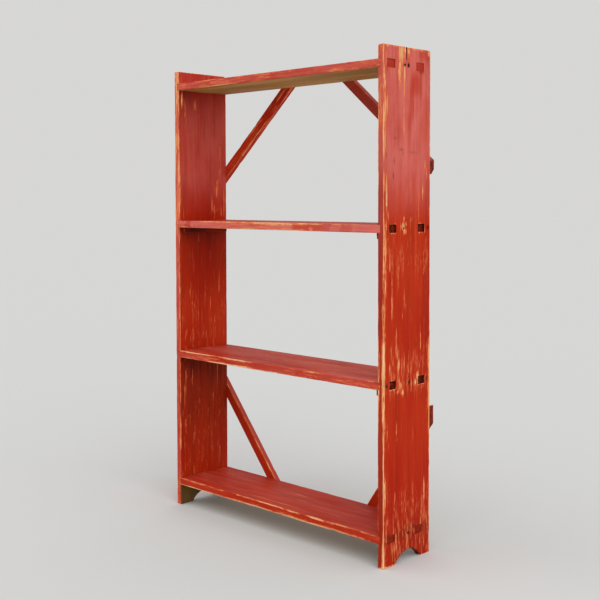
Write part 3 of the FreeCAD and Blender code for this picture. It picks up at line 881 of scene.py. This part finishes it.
def cut_side(board, side):
    """Housings, mortises, the foot arch and the nails' dimples, and the right side's crack."""
    sign, seed = SIDES[side], board.seed
    housings, mortises = [], []
    for k, shelf in enumerate(SHELVES):
        low, high = LEVELS[shelf]
        housings.append(block((sign * (INNER - 0.002), FRONT - 0.002, low - CLEARANCE),
                              (sign * (INNER + DADO_DEPTH * MM), BACK + 0.002, high + CLEARANCE)))
        width, front, back, depth = TENONS[shelf]
        flare = 0.9 if depth > DEEP_TENON else 0.35
        flares = ((INNER + 6 * MM, 0), (OUTER - 1.5 * MM, 0.05), (OUTER - 0.5 * MM, 0.3 * flare),
                  (OUTER, flare), (OUTER + 0.6 * MM, 1.8 * flare))
        for j, middle in enumerate((front, back)):
            outline = mortise_outline(FRONT + middle * MM, width + 0.5, low - 0.1 * MM, high + 0.1 * MM,
                                      seed + 10 * k + j)
            mortises.append(through_side(side, outline, flares, seed + 70 + 10 * k + j))
    flares = ((INNER - 1.2 * MM, 2.6), (INNER, 1.2), (INNER + 0.9 * MM, 0.3), (INNER + 2 * MM, 0),
              (OUTER - 2 * MM, 0), (OUTER - 0.9 * MM, 0.3), (OUTER, 1.2), (OUTER + 1.2 * MM, 2.6))
    holes = [through_side(side, arch_outline(), flares, seed + 3)]
    low, high = sorted((sign * (INNER - 0.03), sign * (OUTER + 0.01)))
    holes += dimples((low, FRONT - 0.01, 0), (high, BACK + 0.03, TOP), "nails_shelf", seed + 40)
    for solids in (housings, mortises, holes):
        board.cut(solids)
    if side == "right":
        for cutter in crack_cutters():
            board.cut([cutter])


def make_side(side):
    sign, right, looks = SIDES[side], side == "right", SIDE_LOOKS[side]
    board = Board(f"side_{side}", (sign * INNER, FRONT, 0), ((0, 1, 0), (sign, 0, 0), (0, 0, 1)),
                  (WIDE, OUTER - INNER, TOP), looks["seed"], steps=(looks["step"], 3.5, 6),
                  arrises=looks["arrises"], sink=(0.7, 0.3, 0.8), knocks=14)
    board.build(PLANK_CORNERS)
    cut_side(board, side)

    def front_wear(p, world):
        """The front edges are rubbed all over, the left one the more."""
        low, more = looks["front_wear"]
        return ramp(3, 1, p[:, 0]) * (low + more * smoothstep(0.8, 1.3, world[:, 2]))

    def kept(p, world):
        return in_crack(world) * right

    def shade(p, world):
        """Painted shade on the inner faces under the shelves and on the feet, in the foot arch, the mortises
        and the crack; a darker top front corner inside; rust round the nails; soil and smudges on the right
        side.
        """
        z = world[:, 2]
        corner = smoothstep(1.18, 1.36, z) * smoothstep(0.10, 0.0, p[:, 0]) * (z < LEVELS["top"][0] + 1 * MM)
        # The foot arch's soffit gets painted shade.
        soffit = (z < 0.034) & (gap_to_arch(world) < 1.5 * MM)
        # The crack's open walls get painted shade.
        darks = [ramp(3, 1, p[:, 1]) * (by_height(world, INNER_SHADE) + 0.30 * corner), 0.75 * soffit,
                 mouth_wear_and_shade(world)[1], in_crack(world) * right, stains("nails_shelf", world)]
        if right:
            edge = ramp(3, 0.5, p[:, 0]) * (p[:, 1] < 19 * MM)
            soiled = np.maximum(ramp(26, 8, np.abs(z - 0.080)), 0.5 * ramp(160, 40, z))
            darks += [edge * (0.34 - 0.26 * smoothstep(0.8, 1.35, z)), 0.34 * soiled * ramp(14, 19, p[:, 1]),
                      patches_on(OUTER, SMUDGED)(p, world)]
        return np.max(darks, axis=0)

    def bare(p, world):
        """The feet's inner faces were never painted."""
        return smoothstep(0.068, 0.060, world[:, 2]) * ramp(2.5, 1, p[:, 1])

    def tone(p, world):
        outer, front = ramp(14, 19, p[:, 1]), ramp(3, 0.5, p[:, 0])
        low, high = looks["front_tone"]
        front_tone = low + (high - low) * smoothstep(0.7, 1.35, world[:, 2])
        return np.where(front > 0, front * front_tone + (1 - front) * 0.1,
                        outer * outer_fade_and_sheen(world) + (1 - outer) * inner_tone(world))

    patches = [lambda p, world: mouth_wear_and_shade(world)[0], scuffs_on(sign * OUTER, SCUFFED), front_wear]
    if right:
        patches.append(patches_on(OUTER, WORN))
    else:
        patches += [patches_on(-INNER, WORN_INSIDE, 0.60), scuffs_on(-INNER, SCUFFED_INSIDE)]
        # Its outer face can't be seen: it gets the right side's wear, turned front to back.
        turned = [((FRONT + BACK) / MM - y, *rest) for y, *rest in WORN]
        patches.append(patches_on(-OUTER, turned, 0.90))
    board.finish(looks["wear_width"], looks["wear_gain"], patches, kept, tone=tone, bare=bare, shade=shade)


# ---------------------------------------------------------------- the shelves

SHELF_LOOKS = {  # wear of the arrises, shade of the tenon ends, (front, top) tone, (front, top) wear
    "top": (((2.0, 1.0), (0.5, 0.5)), 0.10, (0.55, 0.30), (0.30, 0.06)),
    "upper": (((1.3, 1.25), (0.6, 0.7)), 0.90, (1.05, 0.36), (0.24, 0.12)),
    "lower": (((1.2, 1.05), (0.6, 0.6)), 0.94, (0.34, 0.36), (0.24, 0.20)),
    "bottom": (((1.8, 0.8), (0.5, 0.6)), 0.55, (0.12, 0.22), (0.16, 0.10)),
}
TENON_ROOT = 4 * MM  # how far inside the housing a tenon's own mesh starts
TENON_STEPS = (3 * MM, 3 * MM, 2.5 * MM)


def tenon(shelf, sign, middle, seed, slant):
    """One tenon as points and faces: its end is chewed and not quite square."""
    width, _, _, depth = TENONS[shelf]
    low, high = SHELF_BOX[shelf]
    first = INNER + TENON_ROOT
    size = np.array((width * MM, high.z - low.z - 2 * CLEARANCE, OUTER - depth * MM - first))
    points, faces = shell(size, TENON_STEPS)
    points = rounded(points, size, 0.5 * MM)
    chewed = ripple(seed, (0.008, 0.008, 0.01))(points)
    points[:, 2] -= (points[:, 2] > size[2] / 2) * np.clip(0.3 + 0.4 * chewed, 0, 0.9) * MM
    points[:, 2] -= (points[:, 2] > size[2] / 2) * slant * points[:, 0]
    world = np.column_stack([
        sign * (first + points[:, 2]),
        FRONT + middle * MM - width * MM / 2 + points[:, 0],
        low.z + CLEARANCE + points[:, 1],
    ])
    return world, faces


def make_shelf(shelf, seed):
    arrises, end_shade, (front_tone, top_tone), (front_wear, top_wear) = SHELF_LOOKS[shelf]
    low, high = SHELF_BOX[shelf]
    start = -(INNER + DADO_DEPTH * MM - 0.1 * MM)
    board = Board(f"shelf_{shelf}", (start, FRONT, low.z), ((0, 1, 0), (0, 0, 1), (1, 0, 0)),
                  (WIDE, high.z - low.z, -2 * start), seed, steps=(4.2, 3.5, 5), arrises=arrises,
                  sink=(1.8, 0.3, 0.0), knocks=16)
    board.build()
    _, front, back, _ = TENONS[shelf]
    rng = np.random.default_rng(seed + 9)
    tenons = []
    for sign in (-1, 1):
        for middle in (front, back):
            tenons.append(tenon(shelf, sign, middle, seed + len(tenons), rng.uniform(-0.02, 0.02)))
    combine(board.obj, gather("tenons", tenons), "UNION")
    stroked = ripple(seed + 31, (0.03, 0.3, 0.16))
    soiled = ripple(seed + 32, (0.02, 0.3, 0.07))

    def ends(world):
        return smoothstep(INNER + 7 * MM, INNER + 9 * MM, np.abs(world[:, 0]))

    def front_face(p):
        return ramp(3, 0.5, p[:, 0])

    def top_face(p):
        return ramp(18, 21, p[:, 1])

    def shade(p, world):
        return np.maximum(ends(world) * end_shade, top_face(p) * 0.15 * smoothstep(0.35, 1.3, soiled(p)))

    def bare(p, world):
        """The undersides were left bare."""
        under = ramp(5, 1.5, p[:, 1]) * ramp(1.5, 6, p[:, 0])
        return under * (np.abs(world[:, 0]) < INNER + TENON_ROOT)

    def tone(p, world):
        over = top_face(p) * np.clip(1 + 0.5 * stroked(p), 0, 2.2) * top_tone
        painted = np.maximum(front_face(p) * front_tone, over) * (1 - ends(world))
        return painted + 0.20 * ends(world) * (shelf == "top")

    def kept(p, world):
        """The wear of the board's own ends stays off the tenons, and the upper shelf's right end is sound."""
        sound = 0.75 * smoothstep(0.33, 0.39, world[:, 0]) * (shelf == "upper")
        return np.maximum(ends(world), sound)

    def light_wear(p, world):
        return np.maximum(front_wear * front_face(p), top_wear * top_face(p))

    board.finish(1.2, 0.80, [light_wear], kept, tone=tone, bare=bare, shade=shade)


# ---------------------------------------------------------------- cleats, braces and nails

SOUND = ((0.35, 0.5), (0.75, 0.5))
BRACE_LOOKS = {  # wear of the arrises, wear all over, tone, how much paler the upper edge is (faded paint and painted light from above), painted shade
    ("top", "left"): (((1.4, 1.0), (1.0, 0.8)), 0.24, 0.08, 0.62, 0.0),
    ("top", "right"): (SOUND, 0.05, 0.36, 0.62, 0.30),
    ("bottom", "left"): (SOUND, 0.05, 0.08, 0.40, 0.10),
    ("bottom", "right"): (SOUND, 0.05, 0.08, 0.40, 0.10),
}


def make_cleat(shelf, side, seed):
    name = f"cleat_{shelf}_{side}"
    low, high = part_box(name)
    sign = SIDES[side]
    board = Board(name, (sign * INNER, low.y, low.z), ((0, 0, 1), (-sign, 0, 0), (0, 1, 0)),
                  (high.z - low.z, high.x - low.x, high.y - low.y), seed, steps=(2.5, 2.5, 4),
                  arrises=((0.4, 0.8), (0.2, 0.5)), sink=(0.5, 0.5, 0.8), knocks=5)
    board.build()
    centre = (sign * (INNER - 0.013), 0, (low.z + high.z) / 2)
    reach = np.array((0.012, 0.12, 0.012))
    board.cut(dimples(centre - reach, centre + reach, "nails_cleat", seed + 5))
    # The cleats sit under the shelves: their paint is darkened with painted shade.
    board.finish(wear_gain=0.14, tone=0.0, shade=0.74)


def make_brace(shelf, side, seed):
    arrises, wear, plain_tone, edge_light_and_fade, brace_shade = BRACE_LOOKS[shelf, side]
    name = f"brace_{shelf}_{side}"
    slope, rise = BRACES[shelf, side]
    low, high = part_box(name)
    sign = SIDES[side]
    upward = 1 if shelf == "top" else -1
    angle = math.radians(slope)
    along = np.array((-sign * math.cos(angle), 0, upward * math.sin(angle)))
    across = np.array((sign * upward * math.sin(angle), 0, math.cos(angle)))
    middle = np.array((sign * (INNER + OUTER) / 2, low.y, rise * MM))
    level_z = high.z if shelf == "top" else low.z
    start = (sign * OUTER - middle[0]) / along[0]
    end = (level_z - middle[2]) / along[2]
    width = BRACE_WIDTH * MM
    corner = middle + along * start - across * width / 2
    board = Board(name, corner, (across, (0, 1, 0), along), (width, high.y - low.y, end - start), seed,
                  steps=(3.5, 3.5, 4.5), arrises=arrises, sink=(0.6, 0.4, 0.2), knocks=8)
    board.slope = (-across[0] / along[0], -across[2] / along[2])
    board.build()
    margin = Vector((0.002, 0.002, 0.002))
    board.cut(dimples(low - margin, high + margin, "nails_brace", seed + 5))
    if (shelf, side) == CLIPPED_BRACE:
        run, drop = (v * MM for v in CLIP)
        ring = [(high.y - run, low.z), (high.y + run, low.z - drop), (high.y + run, low.z + 2 * drop)]
        board.cut([loft([[(x, y, z) for y, z in ring] for x in (OUTER - 0.04, OUTER + 0.01)])])

    def near_end(world):
        return smoothstep(OUTER - 9 * MM, OUTER - 3 * MM, np.abs(world[:, 0]))

    # Painted shade on the brace, and at its outer end painted shade from the gap beside the side over darker
    # end grain; rust round the nails.
    def shade(p, world):
        return np.maximum(np.maximum(0.72 * near_end(world), brace_shade), 0.6 * stains("nails_brace", world))

    def kept(p, world):
        return 0.9 * near_end(world)

    # The upper edge is paler: faded paint and painted light from above.
    def tone(p, world):
        return plain_tone + edge_light_and_fade * (p[:, 0] > 0.93 * width)

    def light_wear(p, world):
        return np.full(len(p), wear)

    board.finish(1.3, 0.60, [light_wear], kept, tone=tone, shade=shade)


def make_nails():
    for number, (node, nails) in enumerate(sorted(NAILS.items())):
        solids = []
        for k, (place, direction, length) in enumerate(nails):
            seed = 900 + 10 * number + k
            solids.append(nail(place + direction * NAIL_SUNK, direction, length - NAIL_SUNK, seed))
        obj = gather(node + "_look", solids)
        obj.data.shade_smooth()
        obj.data.set_sharp_from_angle(angle=math.radians(50))
        obj.data.materials.append(IRON)
        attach(obj, "root")
        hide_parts(node)


for side_name in SIDES:
    make_side(side_name)
for number, shelf_name in enumerate(SHELVES):
    make_shelf(shelf_name, 300 + 20 * number)
for number, shelf_name in enumerate(("upper", "lower")):
    for side_name in SIDES:
        make_cleat(shelf_name, side_name, 400 + 20 * number + 10 * (side_name == "right"))
for number, (shelf_name, side_name) in enumerate(BRACES):
    make_brace(shelf_name, side_name, 500 + 20 * number)
make_nails()


# ---------------------------------------------------------------- stage, light and camera

SKY = 0.68  # the floor's own brightness in this light, so that floor and sky meet without a line
SKY_COLOUR = (1.0, 0.995, 0.985, 1)
FLOOR_COLOUR = (0.676, 0.681, 0.676, 1)
FLOOR_HALF = 40
SUNS = {  # towards it, how wide it is in degrees, strength
    "key": ((0.90, -0.35, 0.75), 60, 1.15),
    "fill": ((-0.40, -0.80, 0.60), 80, 0.55),
}
CAMERA_PLACE = (2.1871, -2.2224, 1.0058)
CAMERA_TURN, CAMERA_DIP, CAMERA_ROLL = 44.279, 2.332, -0.130  # degrees
CAMERA_LENS, CAMERA_SENSOR, CAMERA_SHIFT = 61.427, 36, -0.10


def make_floor():
    corners = [(x * FLOOR_HALF, y * FLOOR_HALF, 0) for x, y in ((-1, -1), (1, -1), (1, 1), (-1, 1))]
    floor = new_object("floor", corners, [(0, 1, 2, 3)])
    material = bpy.data.materials.new("floor")
    material.use_nodes = True
    shader = material.node_tree.nodes["Principled BSDF"]
    shader.inputs["Base Color"].default_value = FLOOR_COLOUR
    shader.inputs["Roughness"].default_value = 1.0
    shader.inputs["Specular IOR Level"].default_value = 0.0
    floor.data.materials.append(material)


def make_sun(name, towards, spread, strength):
    """A large soft light far away, so that the floor is lit evenly."""
    light = bpy.data.lights.new(name, "SUN")
    light.angle = math.radians(spread)
    light.energy = strength
    obj = bpy.data.objects.new(name, light)
    obj.rotation_euler = Vector(towards).to_track_quat("Z", "Y").to_euler()
    bpy.context.scene.collection.objects.link(obj)


def make_world():
    world = bpy.data.worlds.new("world")
    world.use_nodes = True
    background = world.node_tree.nodes["Background"]
    background.inputs["Color"].default_value = SKY_COLOUR
    background.inputs["Strength"].default_value = SKY
    bpy.context.scene.world = world
    bpy.context.scene.view_settings.view_transform = "Standard"


def make_camera():
    camera = bpy.data.cameras.new("camera")
    camera.sensor_width = CAMERA_SENSOR
    camera.lens = CAMERA_LENS
    camera.shift_y = CAMERA_SHIFT
    obj = bpy.data.objects.new("camera", camera)
    obj.location = CAMERA_PLACE
    turn = Matrix.Rotation(math.radians(CAMERA_TURN), 4, "Z")
    tilt = Matrix.Rotation(math.radians(90 - CAMERA_DIP), 4, "X")
    roll = Matrix.Rotation(math.radians(CAMERA_ROLL), 4, "Z")
    obj.rotation_euler = (turn @ tilt @ roll).to_euler()
    bpy.context.scene.collection.objects.link(obj)
    bpy.context.scene.camera = obj


make_floor()
make_world()
for sun_name, sun in SUNS.items():
    make_sun(sun_name, *sun)
make_camera()
